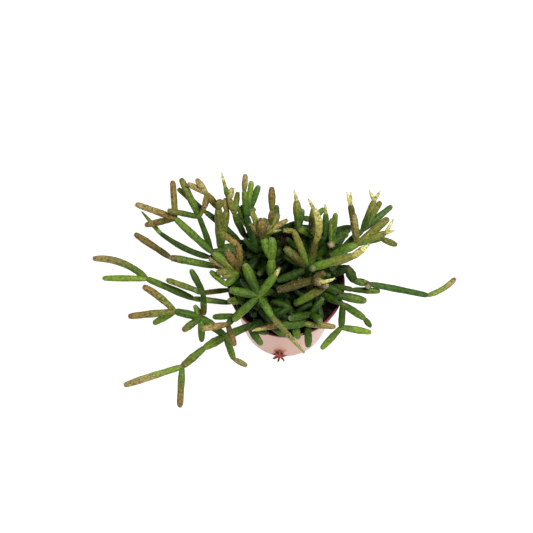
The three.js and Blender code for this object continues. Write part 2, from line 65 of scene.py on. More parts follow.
POT_HEIGHT = 90.0
RIM_RADIUS = 52.5
BASE_RADIUS = 41.0
WALL = 1.2
FLOOR = 1.6
BEAD_HEIGHT = 3.0
BEAD_WIDTH = 2.4
DRAIN_COUNT = 6
DRAIN_RADIUS = 4.0
DRAIN_RING = 33.0
SLOT_WIDTH = 7.0
SLOT_HEIGHT = 7.0
SLOT_MIDDLE = 10.0
SLOT_TURN = math.radians(-97)
SOIL_LEVEL = 82.0
SOIL_RELIEF = 0.8
FIT_GAP = 0.4
POINTED = 4.0


def outside(height):
    """The pot's outer radius at this height."""
    return BASE_RADIUS + (RIM_RADIUS - BEAD_WIDTH / 2 - BASE_RADIUS) * height / POT_HEIGHT


def inside(height):
    """The pot's inner radius at this height."""
    return outside(height) - WALL


# How steeply the camera looks down
ELEVATION = math.radians(66.5)

# ---- The plan of the plant ----

# A spray starts with its name and where it stands in the soil, x y. Each line below it is one
# stem: its end, x y z, its width, the letters of its colour at its base and tip (see SKINS), and
# how far aside the middle of a curved one lies. It grows from the stem it is indented under.
PLANT = """
nw_fan -20 12
 -65 10 122 5.5 gg
  -96 38 138 6.5 dg
   -130 51 140 5.5 bp
   -122 35 132 5.5 nb
   -98 67 152 5.5 ob
nw_rear -14 22
 -66 19 118 5 gg
  -75 39 140 5 kk
   -90 66 158 6 go
   -101 40 150 5 do
   -67 51 150 4.5 ol
nnw_dark -8 26
 -40 25 116 5 dd
  -70 47 134 5.5 kd
   -94 65 142 5 kl
north_bronze -17 28
 -57 20 110 6.5 gg
  -58 42 150 7.5 go
   -68 50 162 6 nb
    -76 60 168 5.5 pp
    -84 60 160 5 pp
    -69 35 166 4.5 ob
   -56 45 159 6.5 oo
  -51 41 147 7 go
   -51 47 158 6 op
north_olive -4 30
 -37 29 122 5.5 dd
  -44 38 148 6 kd
   -50 46 160 5.5 oo
    -46 51 169 5.5 py
    -52 56 162 5 dg
     -55 65 170 2.6 yy
   -42 55 154 5 go
north_trio 2 26
 -27 13 124 6 td
  -36 20 136 5.5 tt
  -34 34 150 6 tt
   -36 49 168 5.5 tg
    -35 60 176 5 op
   -30 58 168 5 tl
   -24 56 164 5.5 kt
north_green 4 30
 -30 23 120 5 dd
  -39 35 140 5 dd
   -39 46 148 5 dl
   -44 49 146 4.5 lg
crown_green -2 8
 -14 -16 142 7 kk
  -13 -7 154 7.5 gl
   -13 6 166 8 gg
   -20 7 164 7.5 gg
    -22 18 178 7 nb
    -30 29 172 5 go
    -30 19 166 5 nb
crown_bronze -12 16
 -16 21 140 5.5 do
  -13 27 150 5 op
   -13 36 158 5 nb
    -13 50 172 6 ob
   -20 31 152 4.5 go
  -8 34 154 6.5 oo
  0 31 150 4.5 pp
  -6 20 153 3 ly
west_tuft -24 2
 -38 -13 142 6 gg
  -40 2 160 6 nb
   -56 15 160 5.5 bo
  -50 -2 158 7 nb
  -61 -1 152 7.5 og
  -65 -2 143 5.5 pp
  -58 -17 150 6.5 do
  -53 -20 147 6 go
  -51 -25 142 6.5 kg
   -64 -13 142 5 gg
west_long -26 16
 -68 13 112 5 dd
  -111 35 116 5.5 kk 0 -2.5 -2
   -128 55 118 3.4 ll
west_thick -30 8
 -63 8 110 6 gg
  -101 10 118 6.5 gw
   -132 31 122 6 nb
west_far -26 -4
 -49 -26 102 4.5 gg
  -81 -23 106 5 kl
   -121 -7 112 6 dg
    -169 13 110 6 gp 1 5 1
    -160 -4 106 5.5 ll
west_whorl -30 -12
 -51 -14 104 4.5 dd
  -71 -25 124 4.5 kn
   -81 -9 136 5.5 kd
   -102 -14 126 5 do
   -77 -29 140 5 dd
   -71 -39 110 5.5 kn
sw_trailing -8 -28
 -31 -46 98 6 dd
  -53 -52 90 7 kg
   -72 -59 83 7.5 gl
    -91 -75 76 7 go
     -141 -90 70 6 lp
     -93 -107 62 6 gb
   -46 -69 79 6 dg
    -35 -74 76 5 pp
   -74 -38 100 7 dd
    -89 -50 100 6.5 do
    -73 -56 86 6 gg
    -79 -31 109 5.5 og
    -96 -35 106 7 dd
     -123 -16 116 6 ob 0 1.5 1
     -136 -38 102 6 ob
     -115 -42 96 6 dg
sw_arm -16 -14
 -49 -53 130 6 kd
  -70 -61 134 5.5 bp
  -44 -71 122 5.5 nb
sw_bud -28 -16
 -44 -40 108 5.5 gg
  -63 -40 106 5.5 dd
star -6 -20
 -24 -34 146 6 gg
  -35 -13 156 8 kg
  -47 -32 148 7 dg
  -46 -53 132 6.5 dg
  -12 -55 144 6.5 dg
   14 -74 112 3.9 oy
  -10 -22 156 7 gg
   -7 -18 160 3.5 yy
  -39 -17 138 5.5 dk
west_bud -30 0
 -40 -27 112 5.5 gg
  -50 -29 116 6.5 ll
centre_right 10 -4
 19 -10 140 6 gg
  5 13 166 5.8 gm
   -3 13 167 4.4 mm
  -2 3 154 7 no
  23 6 158 6.5 dn
   22 27 177 6.2 my 3 0 0
  22 -18 157 7.5 dd
  55 -4 154 7.5 go
   67 4 158 5 yy
  -8 -17 134 6.5 kd
  -1 2 140 6 ll
centre_bronze 14 -12
 22 -23 146 6.5 oo
  -8 -32 147 7 nn
  29 -20 156 6.5 on
  26 -29 157 7.5 nw
   38 -26 158 2.8 yy 0 -1 1
  32 -30 151 6.5 nw
centre_low 6 -16
 8 -35 124 6.5 gg
  31 -25 138 7 go
ne_dark 14 18
 25 26 128 6 dg
  10 28 140 7 tl
   8 45 158 7 do
    6 52 163 2.6 yy
   13 41 150 6 kt
  20 26 144 5.5 do
   22 38 158 5 no
    18 44 163 2.6 yy
ne_teal 20 16
 34 26 130 5 kt
  33 37 150 5.5 tt
   32 42 157 2.6 yy
ne_pair 24 12
 38 15 134 6 ld
  38 32 150 5.5 go
  37 10 144 6.5 ow
  41 35 154 5 tg
ne_fan 26 4
 41 6 136 6.5 gd
  59 10 146 7 dg
   52 34 172 5.5 bn
    49 43 177 2.6 yy
    52 42 178 2.6 yy
   55 27 168 5.5 op
   84 26 162 6.6 oo
   82 16 156 6 go
    88 26 161 2.6 yy
    89 18 156 2.6 yy
ne_rear 28 12
 51 16 130 5.5 dd
  64 24 144 5.5 kk
   73 43 162 6 ko
    69 51 165 2.8 yy
    78 50 166 2.6 yy
   79 45 156 5.5 go
   89 44 150 5.5 kt
  81 20 136 5 dg
   94 17 130 5.5 oo
east_long 22 2
 46 9 121 8.6 dd
  59 -6 105 8.6 kk
   72 -9 103 6.8 do
    70 -14 111 6 nw
    124 -16 96 5.5 tt
     149 -1 98 5 lp 1 -2 0
ne_leaf 22 10
 45 21 120 5.5 dd
  53 29 126 5.5 dg
east_low 30 -4
 58 -12 99 5 dg
  82 -12 97 5.5 kg
east_thick 24 -8
 34 -23 112 6.5 gg
  68 -26 108 7.5 kg
se_drop 30 -14
 49 -26 104 5.5 gg
  48 -43 88 6 kd
   74 -45 84 6 gl
   31 -59 78 6 gl
  68 -36 92 6.5 dg
   74 -42 84 5 dd
south_hang 12 -30
 18 -45 100 6 dd
  19 -59 84 6.5 dg
south_bar 4 -24
 15 -46 112 7 dg
  -9 -52 117 7.5 dd
   -29 -57 119 3.8 by
  41 -49 106 5.5 op
south_light 2 -30
 9 -42 104 6.5 gg
  10 -55 94 7 gl
south_left -6 -26
 -31 -54 108 6 dk
  -22 -61 96 6.5 kg
  -16 -52 100 5 gd
south_dark -12 -22
 -30 -38 107 7 dd
 -19 -46 104 6 dd
  -1 -54 97 5.5 dg
back_left -20 34
 -38 54 104 6 dd
  -42 60 106 5.5 dd
  -28 62 110 5.5 dg
back_right 20 34
 24 54 104 6 dd
  34 62 110 5.5 dg
  14 55 106 5.5 dd
back_far 34 24
 50 40 100 6 dd
  58 46 106 5.5 dd
middle_left -14 2
 -21 3 116 6.5 dd
  -27 -9 128 6 dg
  -8 17 126 6 dg
middle_right 2 4
 10 2 116 6.5 dd
  13 -13 126 6 dg
  24 8 126 6 dg
  4 -20 124 6 dg
"""

COLLAR = 2.0
ROOT_SPACING = 8.5
ROOT_REACH = 43.0
STEM_GAP = 1.2
ARCH = 0.01
ROOT_ARCH = 0.13
INNER_SEED = 4021
INNER_COUNT = 11
INNER_REACH = 36.0
WHORL_COUNT = 3
STRAIGHT = [0.0, 0.0, 0.0]
GOLDEN_ANGLE = math.pi * (3 - math.sqrt(5))


def draws_from(seed):
    """Repeatable draws from 0 to 1."""
    while True:
        seed = seed * 48271 % 2147483647
        yield seed / 2147483647


def read_sprays(text):
    """The name, place and stems of each spray. A stem has the number of the one that bears it,
    its end, width and look, and how far its middle lies aside."""
    sprays, joints = [], []
    for line in text.strip().split("\n"):
        depth = len(line) - len(line.lstrip())
        words = line.split()
        if depth == 0:
            stems = []
            sprays.append((words[0], [float(word) for word in words[1:]], stems))
            joints = [-1]
            continue
        end = [float(word) for word in words[:3]]
        aside = [float(word) for word in words[5:]] or STRAIGHT
        stems.append((joints[depth - 1], end, float(words[3]), words[4], aside))
        joints[depth:] = [len(stems) - 1]
    return sprays


def inner_sprays():
    """The short sprays in the middle of the bush: a leaning stem with a whorl on its end."""
    draws = draws_from(INNER_SEED)

    def between(low, high):
        return low + (high - low) * next(draws)

    sprays = []
    for k in range(INNER_COUNT):
        heading = k * GOLDEN_ANGLE
        distance = INNER_REACH * math.sqrt((k + 0.5) / INNER_COUNT)
        root = polar(distance, heading)
        joint = [*root, SOIL_LEVEL] + leaning(between(1.1, 1.5), between(18, 34), heading)
        stems = [(-1, joint, 5.5, "kk", STRAIGHT)]
        for n in range(WHORL_COUNT):
            turn = heading + (n + between(-0.2, 0.2)) * FULL_TURN / WHORL_COUNT
            tip = joint + leaning(between(0.2, 0.9), between(17, 26), turn)
            stems.append((0, tip, between(5.5, 6.5), "kd", STRAIGHT))
        sprays.append((f"inner_{k + 1}", root, stems))
    return sprays


# ---- Bending stems clear of each other ----

BOW_PARTS = 4
PASSES = 900
SETTLING_PASSES = 315
HOME_PULL = 0.03
SETTLING_STIFFNESS = 0.1
LATE_STIFFNESS = 0.02
NEAR_EVERY = 20
NEAR_MARGIN = 8.0
FREE_FOOT = 0.3
WALL_SAMPLES = 12
# Rings that stand for the lip and the wall: radius, height and half thickness
WALL_RINGS = [
    (RIM_RADIUS - 1.2, 88.6, 1.6), (RIM_RADIUS - 1.5, 84, 1.4),
    (RIM_RADIUS - 1.8, 79, 1.4), (RIM_RADIUS - 2.2, 74, 1.4),
]


def bow_weights(t):
    """What a bow's start, middle and end each count for, at a share t of its length."""
    return np.stack([(1 - t) * (1 - 2 * t), 4 * t * (1 - t), t * (2 * t - 1)], -1)


KNOTS = bow_weights(np.linspace(0, 1, BOW_PARTS + 1))
WALL_SHARES = np.arange(1, WALL_SAMPLES + 1) / WALL_SAMPLES
WALL_WEIGHTS = bow_weights(WALL_SHARES)


class Plant:
    """Every point of the plant once, and every stem by the numbers of its three points."""

    def __init__(self, sprays):
        self.points, self.roots, self.triples, self.radii, self.owners = [], [], [], [], []
        self.looks, self.carried = [], []
        for number, (_, place, stems) in enumerate(sprays):
            root = self.add([*place, SOIL_LEVEL + COLLAR])
            self.roots.append(root)
            ends = []
            for bearer, tip, width, look, aside in stems:
                start = root if bearer < 0 else ends[bearer]
                end = self.add(tip)
                chord = self.points[end] - self.points[start]
                rise = norm(chord) * (ROOT_ARCH if bearer < 0 else ARCH)
                bow = np.array(aside) + [0, 0, rise]
                middle = self.add((self.points[start] + self.points[end]) / 2 + bow)
                ends.append(end)
                self.triples.append([start, middle, end])
                self.radii.append(width / 2)
                self.owners.append(number)
                self.looks.append(look)
                self.carried.append(bearer)
        for name in ("points", "roots", "triples", "radii", "owners"):
            setattr(self, name, np.array(getattr(self, name)))

    def add(self, point):
        self.points.append(np.array(point, float))
        return len(self.points) - 1


class Pushes:
    """The pushes of one pass, added up for every point."""

    def __init__(self, plant):
        self.plant = plant
        self.moves = np.zeros_like(plant.points)
        self.counts = np.zeros(len(plant.points))

    def add(self, stems, weights, way):
        size = len(self.counts)
        for k in range(3):
            here = self.plant.triples[stems, k]
            for axis in range(3):
                self.moves[:, axis] += np.bincount(here, weights[:, k] * way[:, axis], size)
            self.counts += np.bincount(here, (weights[:, k] != 0).astype(float), size)

    def shared_out(self):
        return self.moves / np.maximum(1, 0.5 * self.counts)[:, None]


def dot(one, two):
    return (one * two).sum(1)


def closest_shares(start_p, end_p, start_q, end_q):
    """For pairs of straight lengths, the shares of each at which they come closest."""
    along, other, gap = end_p - start_p, end_q - start_q, start_p - start_q
    aa, ee, bb = dot(along, along), dot(other, other), dot(along, other)
    cc, ff = dot(along, gap), dot(other, gap)
    s = np.clip((bb * ff - cc * ee) / np.maximum(aa * ee - bb * bb, 1e-9), 0, 1)
    t = np.clip((bb * s + ff) / ee, 0, 1)
    s = np.clip((bb * t - cc) / aa, 0, 1)
    return s, t, gap + s[:, None] * along - t[:, None] * other


def push_stems(pushes, near, ends, stem_of, part_of):
    p, q, wanted = near
    start, finish = ends
    s, t, gap = closest_shares(start[p], finish[p], start[q], finish[q])
    distance = np.maximum(norm(gap, axis=1), 1e-6)
    hit = distance < wanted
    p, q, s, t = p[hit], q[hit], s[hit, None], t[hit, None]
    way = gap[hit] / distance[hit, None] * (wanted - distance)[hit, None]
    on_p = KNOTS[part_of[p]] * (1 - s) + KNOTS[part_of[p] + 1] * s
    on_q = KNOTS[part_of[q]] * (1 - t) + KNOTS[part_of[q] + 1] * t
    way = way / (dot(on_p, on_p) + dot(on_q, on_q))[:, None]
    pushes.add(stem_of[p], on_p, way)
    pushes.add(stem_of[q], on_q, -way)


def push_off_pot(plant, pushes, from_root):
    """Keeps the stems off the lip and the wall, and over the soil."""
    place = np.einsum("kp,spa->ska", WALL_WEIGHTS, plant.points[plant.triples])
    across = np.hypot(place[..., 0], place[..., 1])
    for radius, height, thickness in WALL_RINGS:
        out, lift = across - radius, place[..., 2] - height
        distance = np.hypot(out, lift)
        short = thickness + plant.radii[:, None] + STEM_GAP - distance
        stems, k = np.nonzero(short > 0)
        weights = WALL_WEIGHTS[k]
        scale = (short / distance)[stems, k] / dot(weights, weights)
        inward = (out / across)[stems, k]
        way = [inward * place[stems, k, 0], inward * place[stems, k, 1], lift[stems, k]]
        pushes.add(stems, weights, np.stack(way, 1) * scale[:, None])
    floor = (SOIL_LEVEL + SOIL_RELIEF + plant.radii + STEM_GAP)[:, None]
    free = ~from_root[:, None] | (WALL_SHARES > FREE_FOOT)
    stems, k = np.nonzero((across < RIM_RADIUS) & (place[..., 2] < floor) & free)
    weights = WALL_WEIGHTS[k]
    lift = (floor - place[..., 2])[stems, k] / dot(weights, weights)
    pushes.add(stems, weights, np.stack([0 * lift, 0 * lift, lift], 1))


def space_roots(plant):
    """Moves the feet apart, inside the pot and at their height."""
    points, roots = plant.points, plant.roots
    for i, one in enumerate(roots):
        for two in roots[i + 1:]:
            x, y = points[one, :2] - points[two, :2]
            distance = math.hypot(x, y)
            short = (ROOT_SPACING - distance) / 2
            if short > 0:
                step = np.array([short * x / distance, short * y / distance])
                points[one, :2] += step
                points[two, :2] -= step
    across = np.hypot(points[roots, 0], points[roots, 1])
    points[roots, :2] *= np.minimum(1, ROOT_REACH / across)[:, None]
    points[roots, 2] = SOIL_LEVEL + COLLAR


def bend_clear(plant):
    """Pushes near stems apart in small steps. Each stem is drawn towards the bow that the plan
    gives it and, in the settling passes, each point towards its place in the plan."""
    points, triples, radii = plant.points, plant.triples, plant.radii
    home = points.copy()
    from_root = np.isin(triples[:, 0], plant.roots)
    stem_of = np.repeat(np.arange(len(triples)), BOW_PARTS)
    part_of = np.tile(np.arange(BOW_PARTS), len(triples))
    shared = (triples[:, None, :, None] == triples[None, :, None, :]).any((2, 3))
    later = stem_of[:, None] < stem_of[None, :]
    one, two = np.nonzero(later & ~shared[stem_of][:, stem_of])
    same_spray = plant.owners[stem_of[one]] == plant.owners[stem_of[two]]
    needed = radii[stem_of[one]] + radii[stem_of[two]] + np.where(same_spray, 0, STEM_GAP)
    first, middle, last = triples.T
    bow = home[middle] - (home[first] + home[last]) / 2
    for number in range(PASSES):
        spots = np.einsum("kp,spa->ska", KNOTS, points[triples])
        start, finish = spots[:, :-1].reshape(-1, 3), spots[:, 1:].reshape(-1, 3)
        if number % NEAR_EVERY == 0:
            centre, span = (start + finish) / 2, norm(finish - start, axis=1)
            reach = (span[one] + span[two]) / 2 + needed + NEAR_MARGIN
            close = ((centre[one] - centre[two]) ** 2).sum(1) < reach ** 2
            near = one[close], two[close], needed[close]
        pushes = Pushes(plant)
        push_stems(pushes, near, (start, finish), stem_of, part_of)
        push_off_pot(plant, pushes, from_root)
        settling = number < SETTLING_PASSES
        points += pushes.shared_out() + (HOME_PULL if settling else 0) * (home - points)
        stiffness = SETTLING_STIFFNESS if settling else LATE_STIFFNESS
        points[middle] += stiffness * ((points[first] + points[last]) / 2 + bow - points[middle])
        space_roots(plant)


# ---- Short stems that fill the middle ----

HEART_REACH = 54
HEART_TOP = 120
FILL_SEED = 12
FILL_TRIES = 26000
FILL_SLACK = 1.0
OFF_SOIL = 1.5
OFF_WALL = 0.5
FILL_SPREAD = 46
FILL_RADII = (2.5, 3.2)
STANDING_SHARE = 0.6
STEM_SAMPLES = 7
FILL_LOOKS = ["kd", "dd", "dd", "dg", "dg", "gg"]

FAR_SIGHT = 57
# Places of the soil and the wall that no short stem may hide from the camera: x, y, z and radius
IN_VIEW = [(37, -24, 82, 6), (-3, 43, 82, 7), (47, 1, 88, 4)]
HIDDEN_PER_HEIGHT = 1 / math.tan(ELEVATION)


def in_the_way(spots):
    """Whether any of these points hides a place kept in view, or stands out behind."""
    x, y, z = spots.T
    for at_x, at_y, at_z, reach in IN_VIEW:
        hidden_y = y + (z - at_z) * HIDDEN_PER_HEIGHT
        if (np.hypot(x - at_x, hidden_y - at_y) < reach + 2).any():
            return True
    return (y + (z - SOIL_LEVEL) * HIDDEN_PER_HEIGHT).max() > FAR_SIGHT


def bow_spots(bows):
    """Points spread evenly over each of these bows."""
    return np.einsum("kp,spa->ska", bow_weights(np.linspace(0, 1, STEM_SAMPLES)), bows)


def past_the_heart(bow, outer, radius):
    """Whether a short stem reaches out of the middle of the bush, into the soil or the wall."""
    reach, height = np.hypot(*bow[2][:2]), bow[2][2]
    if reach > HEART_REACH or height > HEART_TOP or outer[:, 2].min() < SOIL_LEVEL + OFF_SOIL:
        return True
    near_wall = np.hypot(outer[:, 0], outer[:, 1]) > inside(SOIL_LEVEL) - radius - OFF_WALL
    return (near_wall & (outer[:, 2] < POT_HEIGHT + radius)).any()


def fill_in(plant, sprays):
    """Tries short stems at random, on the ends of the middle stems and in the soil, and keeps
    each one that finds room."""
    draw = np.random.default_rng(FILL_SEED)
    points, triples = list(plant.points), list(plant.triples)
    spots = list(bow_spots(plant.points[plant.triples]))
    radii, owners = list(plant.radii), list(plant.owners)
    roots = plant.points[plant.roots]
    bearing = [name.startswith(("inner", "middle", "back")) for name, *_ in sprays]
    hosts = [stem for stem in range(len(triples)) if bearing[owners[stem]]]
    for _ in range(FILL_TRIES):
        standing = draw.random() < STANDING_SHARE
        if standing:
            turn, across = draw.uniform(0, FULL_TURN), FILL_SPREAD * math.sqrt(draw.random())
            start = np.array([*polar(across, turn), SOIL_LEVEL])
            owner = int(np.argmin(norm(roots[:, :2] - start[:2], axis=1)))
            host, climb, reach = -1, draw.uniform(0.15, 0.95), draw.uniform(17, 30)
        else:
            host = int(draw.choice(hosts))
            owner, start = owners[host], points[triples[host][2]]
            climb, reach = draw.uniform(-0.45, 0.7), draw.uniform(15, 25)
        turn = draw.uniform(0, FULL_TURN)
        way = leaning(climb, 1, turn)
        bend_by = draw.uniform(-0.06, 0.06, 3) * reach + [0, 0, 0.05 * reach]
        bow = np.array([start, start + way * reach / 2 + bend_by, start + way * reach])
        radius = draw.uniform(*FILL_RADII)
        mine = bow_spots(bow[None])[0]
        outer = mine[2:]
        if past_the_heart(bow, outer, radius) or in_the_way(mine):
            continue
        gaps = norm(np.array(spots)[:, :, None] - outer[None, None], axis=-1).min((1, 2))
        gaps -= np.array(radii) + radius - FILL_SLACK
        touching = np.zeros(len(triples), bool)
        if not standing:
            touching = np.array(triples)[:, 0] == triples[host][2]
            touching[host] = True
        if gaps[~touching].min() < 0 or gaps[touching].min(initial=9) < -2 * radius - 1:
            continue
        here = len(points)
        points += list(bow)
        first = here if standing else triples[host][2]
        triples.append(np.array([first, here + 1, here + 2]))
        spots.append(mine)
        radii.append(radius)
        owners.append(owner)
        plant.looks.append(str(draw.choice(FILL_LOOKS)))
        plant.carried.append(host)
        hosts.append(len(triples) - 1)
    plant.planned = len(plant.triples)
    plant.points, plant.triples = np.array(points), np.array(triples)
    plant.radii, plant.owners = np.array(radii), np.array(owners)


# ---- Finishes ----


def operator(operation, turned_round=False):
    """The method that adds a Math node for an operator."""
    def method(self, other):
        return self.math(operation, *((other, self) if turned_round else (self, other)))
    return method


class Signal:
    """A socket of a finish's nodes. Python's operators on it add Math nodes."""

    def __init__(self, finish, socket):
        self.finish = finish
        self.socket = socket

    def math(self, operation, *values):
        inputs = dict(enumerate(values))
        return self.finish.node("Math", {"operation": operation}, inputs)

    __add__ = operator("ADD")
    __radd__ = operator("ADD", True)
    __sub__ = operator("SUBTRACT")
    __rsub__ = operator("SUBTRACT", True)
    __mul__ = operator("MULTIPLY")
    __rmul__ = operator("MULTIPLY", True)
    __pow__ = operator("POWER")

    def ramp(self, low, high):
        """0 up to low, 1 from high on, and smooth between."""
        settings = {"interpolation_type": "SMOOTHSTEP"}
        return self.finish.node("MapRange", settings, {0: self, 1: low, 2: high})


class Finish:
    """A material or a world in the making: its shader, and the nodes that feed it."""

    def __init__(self, name, kind="materials", place="Object"):
        self.made = getattr(bpy.data, kind).new(name)
        self.made.use_nodes = True
        self.tree = self.made.node_tree
        self.tree.nodes.clear()
        self.place = self.node("TexCoord", {}, {}, place)

    def node(self, kind, settings, inputs, output=0):
        made = self.tree.nodes.new("ShaderNode" + kind)
        for key, value in settings.items():
            setattr(made, key, value)
        for key, value in inputs.items():
            if isinstance(value, Signal):
                self.tree.links.new(value.socket, made.inputs[key])
            else:
                made.inputs[key].default_value = value
        return None if output is None else Signal(self, made.outputs[output])

    def attribute(self, name, output="Fac"):
        return self.node("Attribute", {"attribute_name": name}, {}, output)

    def noise(self, size, detail=3.0):
        """Smooth noise from 0 to 1, with features of about this size."""
        inputs = {"Vector": self.place, "Scale": 1 / (size * MM), "Detail": detail}
        return self.node("TexNoise", {}, inputs)

    def specks(self, size, share):
        """1 in small round specks, one in each cell of this size."""
        inputs = {"Vector": self.place, "Scale": 1 / (size * MM)}
        distance = self.node("TexVoronoi", {}, inputs)
        return 1 - distance.ramp(0.6 * share, share)

    def mix(self, factor, one, two, blend="MIX"):
        settings = {"data_type": "RGBA", "blend_type": blend}
        return self.node("Mix", settings, {0: factor, 6: one, 7: two}, 2)

    def parts(self):
        """The x, y and z of the place."""
        split = self.node("SeparateXYZ", {}, {0: self.place})
        return [Signal(self, socket) for socket in split.socket.node.outputs]

    def bump(self, height, distance, strength):
        inputs = {"Height": height, "Distance": distance * MM, "Strength": strength}
        return self.node("Bump", {}, inputs)

    def done(self, colour, roughness, others):
        inputs = {"Base Color": colour, "Roughness": roughness, **others}
        return self.shown("BsdfPrincipled", inputs, "OutputMaterial")

    def shown(self, shader, inputs, output):
        self.node(output, {}, {"Surface": self.node(shader, {}, inputs)}, None)
        return self.made


def linear(red, green, blue):
    """An sRGB colour of 0 to 255 as Blender's linear one."""
    steps = [value / 255 for value in (red, green, blue)]
    return np.array([s / 12.92 if s < 0.04045 else ((s + 0.055) / 1.055) ** 2.4 for s in steps])


def opaque(*colour):
    return (*linear(*colour), 1.0)


# The stems' skins, by the letters of the plan: colour, wartiness, size of bristles and of wool
SKINS = {
    "k": (linear(48, 72, 18), 0.1, 0.3, 0.5),
    "d": (linear(62, 90, 24), 0.1, 0.35, 0.5),
    "g": (linear(84, 110, 33), 0.2, 0.4, 0.6),
    "l": (linear(112, 138, 46), 0.3, 0.45, 0.65),
    "o": (linear(106, 108, 46), 0.6, 0.7, 0.75),
    "t": (linear(60, 94, 33), 0.12, 0.35, 0.5),
    "n": (linear(70, 66, 20), 0.6, 0.7, 0.75),
    "b": (linear(120, 100, 52), 0.8, 0.85, 0.8),
    "p": (linear(142, 129, 78), 0.85, 0.9, 0.85),
    "m": (linear(116, 114, 48), 0.9, 0.9, 0.9),
    "y": (linear(158, 154, 84), 0.9, 0.9, 0.9),
    "w": (linear(110, 98, 64), 1.0, 0.5, 1.3),
}


def cactus_skin():
    """Waxy skin with pale pores, painted with highlights on its rib crests and shade in the furrows.
    Warty skin is lumpy and blotched.
    """
    made = Finish("cactus_skin")
    tint, skin = made.attribute("tint", "Color"), made.attribute("skin")
    warts, rib = made.attribute("warts"), made.attribute("rib")
    blotch, mottle, grain = made.noise(9.0), made.noise(2.4, 4.0), made.noise(1.0, 2.0)
    lumps = made.specks(2.0, 0.75) * warts
    pores = made.specks(1.1, 0.32) * skin
    # The rib term is painted highlight on the crests and painted shade in the furrows
    light = 0.46 + 0.6 * mottle.ramp(0.32, 0.68) + 0.5 * grain.ramp(0.3, 0.7) + 0.1 * rib * skin
    light = light + 0.6 * (lumps - 0.5 * warts)
    shaded = made.node("VectorMath", {"operation": "SCALE"}, {0: tint, 3: light})
    browned = made.mix(1.0, shaded, (0.76, 0.63, 0.5, 1), "MULTIPLY")
    brown = blotch.ramp(0.4, 0.6) * mottle.ramp(0.42, 0.6) * skin
    colour = made.mix(brown * (0.15 + 0.75 * warts), shaded, browned)
    paler = made.mix(1.0, colour, (2.2, 2.0, 2.4, 1), "MULTIPLY")
    colour = made.mix(pores * (0.25 + 0.35 * warts), colour, paler)
    height = 0.3 * grain + 0.35 * mottle + 0.15 * pores + 0.8 * lumps
    return made.done(colour, 0.42 + 0.2 * grain, {
        "Normal": made.bump(height, 0.4, 0.75), "Specular IOR Level": 0.16,
    })


def pot_plastic():
    """Thin terracotta plastic, painted dark as shade inside the pot and on the lip, and pale on the
    outside of the wall, dusty and with a painted reflection of the bright floor.
    """
    made = Finish("pot_plastic")
    cloud, fine = made.noise(26.0, 4.0), made.noise(1.2, 3.0)
    x, y, z = made.parts()
    out = (x * x + y * y) ** 0.5 - z * (outside(1) - outside(0)) - outside(0) * MM
    wall = out.ramp(-0.7 * MM, -0.3 * MM) * (1 - z.ramp(86.2 * MM, 87.4 * MM))
    # Everywhere but the outer wall the plastic is painted dark as shade, with a cloudy mottle
    plastic_in_painted_shade = made.mix(cloud, opaque(66, 22, 17), opaque(92, 33, 24))
    # The lip's top is painted less dark, a lit copy of the shaded plastic
    plastic_in_painted_shade = made.mix(z.ramp(88.4 * MM, 89.2 * MM), plastic_in_painted_shade, opaque(140, 46, 32))
    # The outer wall is pale: the plastic with dusty mottling and a painted reflection of the bright
    # floor
    dust_and_painted_reflection = wall * (0.76 + 0.2 * cloud + 0.15 * fine)
    colour = made.mix(dust_and_painted_reflection, plastic_in_painted_shade, opaque(211, 134, 96))
    return made.done(colour, 0.22 + 0.08 * fine, {
        "Normal": made.bump(fine, 0.03, 0.3), "Specular IOR Level": 0.3,
        "Sheen Weight": 0.15, "Sheen Roughness": 0.35,
    })


def peat():
    """Dark damp peat, blackish with brown fibres."""
    made = Finish("peat")
    lumps, fine = made.noise(3.0, 5.0), made.noise(0.5, 3.0)
    colour = made.mix(lumps.ramp(0.45, 0.75), opaque(6, 5, 5), opaque(36, 23, 17))
    heaped = made.parts()[2].ramp((SOIL_LEVEL + 2) * MM, (SOIL_LEVEL + 7) * MM)
    colour = made.mix(heaped * fine.ramp(0.35, 0.6), colour, opaque(104, 64, 50))
    pale = made.specks(2.2, 0.1) * fine.ramp(0.4, 0.6) * 0.6
    colour = made.mix(pale, colour, opaque(140, 128, 110))
    return made.done(colour, 0.9 - 0.25 * lumps, {
        "Normal": made.bump(0.6 * lumps + 0.4 * fine, 0.8, 0.9), "Specular IOR Level": 0.1,
    })


def grit():
    """Pale volcanic grit, white to cream."""
    made = Finish("grit")
    fine = made.noise(0.6, 3.0)
    colour = made.mix(fine, opaque(176, 168, 150), opaque(236, 232, 222))
    return made.done(colour, 0.85 - 0.1 * fine, {"Normal": made.bump(fine, 0.2, 0.8)})


def dry_root():
    """Dry red-brown root, paler where it is worn."""
    made = Finish("dry_root")
    streak, fine = made.noise(2.0, 3.0).ramp(0.3, 0.7), made.noise(0.4, 2.0)
    red = made.mix(streak, opaque(160, 62, 40), opaque(206, 104, 72))
    brown = made.mix(streak, opaque(70, 42, 30), opaque(112, 76, 56))
    colour = made.mix(made.parts()[2].ramp(5 * MM, 9 * MM), brown, red)
    return made.done(colour, 0.75 + 0.15 * fine, {"Normal": made.bump(fine, 0.15, 0.8)})


def table_top():
    """White card that is lit from behind, so that shadows on it are faint."""
    made = Finish("table_top")
    fine = made.noise(3.0, 2.0)
    colour = made.mix(fine, (0.22, 0.22, 0.22, 1), (0.26, 0.26, 0.26, 1))
    return made.done(colour, 0.6 + 0.1 * fine, {
        "Emission Color": (1.0, 1.0, 1.0, 1.0), "Emission Strength": 0.92,
    })


# ---- Shapes ----


def mesh_of(bm):
    """A bmesh in millimetres as a smooth mesh, still in millimetres."""
    mesh = bpy.data.meshes.new("shape")
    bm.to_mesh(mesh)
    bm.free()
    mesh.polygons.foreach_set("use_smooth", np.ones(len(mesh.polygons), bool))
    mesh.update()
    return mesh


